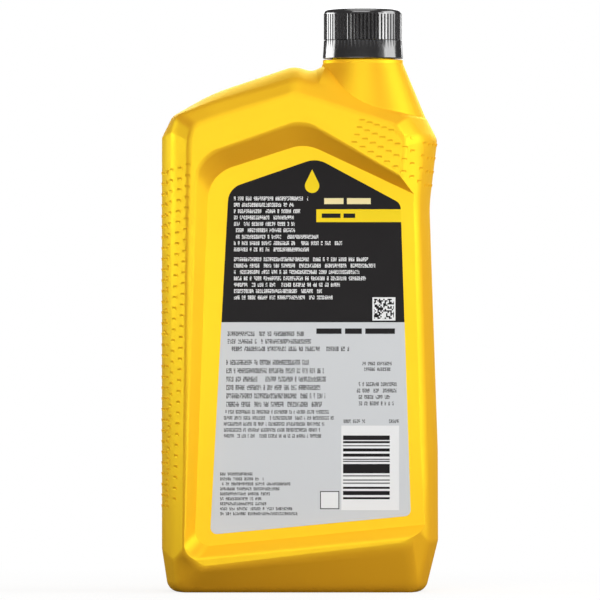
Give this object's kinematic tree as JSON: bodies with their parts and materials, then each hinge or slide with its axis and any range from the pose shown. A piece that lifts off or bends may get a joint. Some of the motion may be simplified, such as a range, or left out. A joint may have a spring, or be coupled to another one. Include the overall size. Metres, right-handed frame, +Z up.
{
  "type": "motor oil bottle",
  "caption": "Upright flat-sided plastic oil bottle with an offset neck, a chevron-topped label recess on each face and a ribbed screw cap that unscrews above its tamper band.",
  "frame": {"origin": "middle of the overall box at the base", "axes": "+Z up, +X towards the neck side, +Y away from the labelled face"},
  "size_m": [0.1124, 0.06, 0.2367],
  "materials": {
    "bottle_plastic": "semi-gloss blown yellow plastic",
    "cap_plastic": "gloss moulded black plastic",
    "liner_foam": "matte white foam",
    "label_film": "semi-gloss printed film in black, grey and yellow fields"
  },
  "bodies": {
    "bottle": {"bottle_body": "bottle_plastic", "tamper_band": "cap_plastic", "back_label": "label_film"},
    "liner": {"cap_liner": "liner_foam"},
    "cap": {"screw_cap": "cap_plastic"}
  },
  "joints": [
    {"name": "cap_lift", "type": "slide", "parent": "bottle", "child": "liner", "axis": [0, 0, 1], "range_m": [0, 0.00635]},
    {"name": "cap_turn", "type": "hinge", "parent": "liner", "child": "cap", "pos_m": [0.0256, 0, 0.23], "axis": [0, 0, 1], "range_deg": [0, 540]}
  ],
  "couplings": [
    {"joint": "cap_lift", "follows": "cap_turn", "m_per_rad": 0.00067371}
  ]
}
